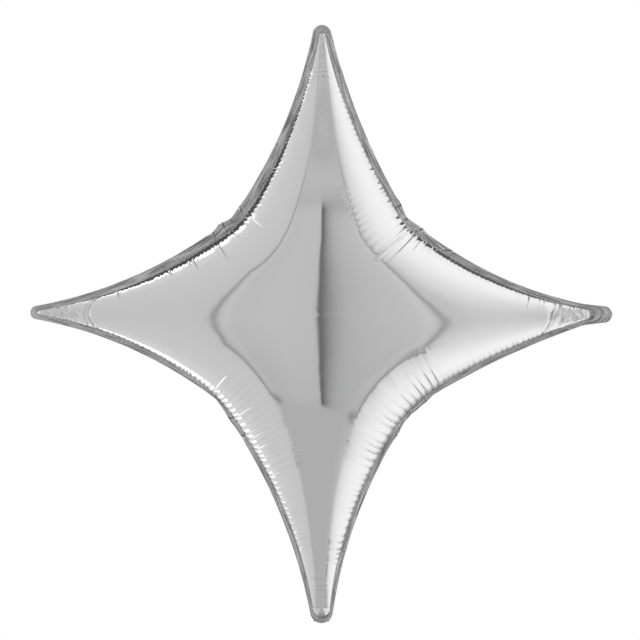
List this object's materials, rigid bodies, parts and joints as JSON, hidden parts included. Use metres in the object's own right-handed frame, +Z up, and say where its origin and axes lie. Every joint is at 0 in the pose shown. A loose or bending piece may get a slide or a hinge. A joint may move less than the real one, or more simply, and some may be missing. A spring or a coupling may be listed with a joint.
{
  "type": "star foil balloon",
  "caption": "Inflated silver foil balloon in the shape of a star with long pointed arms, with a flat welded margin and a filling neck that folds behind the lowest tip.",
  "frame": {"origin": "middle of the inflated envelope, in the plane of the welded margin, where the centre lines of the arms meet", "axes": "+Z up along the top arm, +X along the arm on the right as seen from the front, -Y out of the front panel"},
  "size_m": [0.6035, 0.1588, 0.6202],
  "materials": {
    "silver_film": "polished",
    "silver_seal": "gloss",
    "clear_valve_film": "gloss"
  },
  "bodies": {
    "envelope": {"front_panel": "silver_film", "back_panel": "silver_film", "seal_margin": "silver_seal"},
    "neck": {"filling_neck": "silver_film", "valve_film": "clear_valve_film"}
  },
  "joints": [
    {"name": "neck_fold", "type": "hinge", "parent": "envelope", "child": "neck", "pos_m": [0, 0.0016, -0.3172], "axis": [-1, 0, 0], "range_deg": [0, 160]}
  ]
}
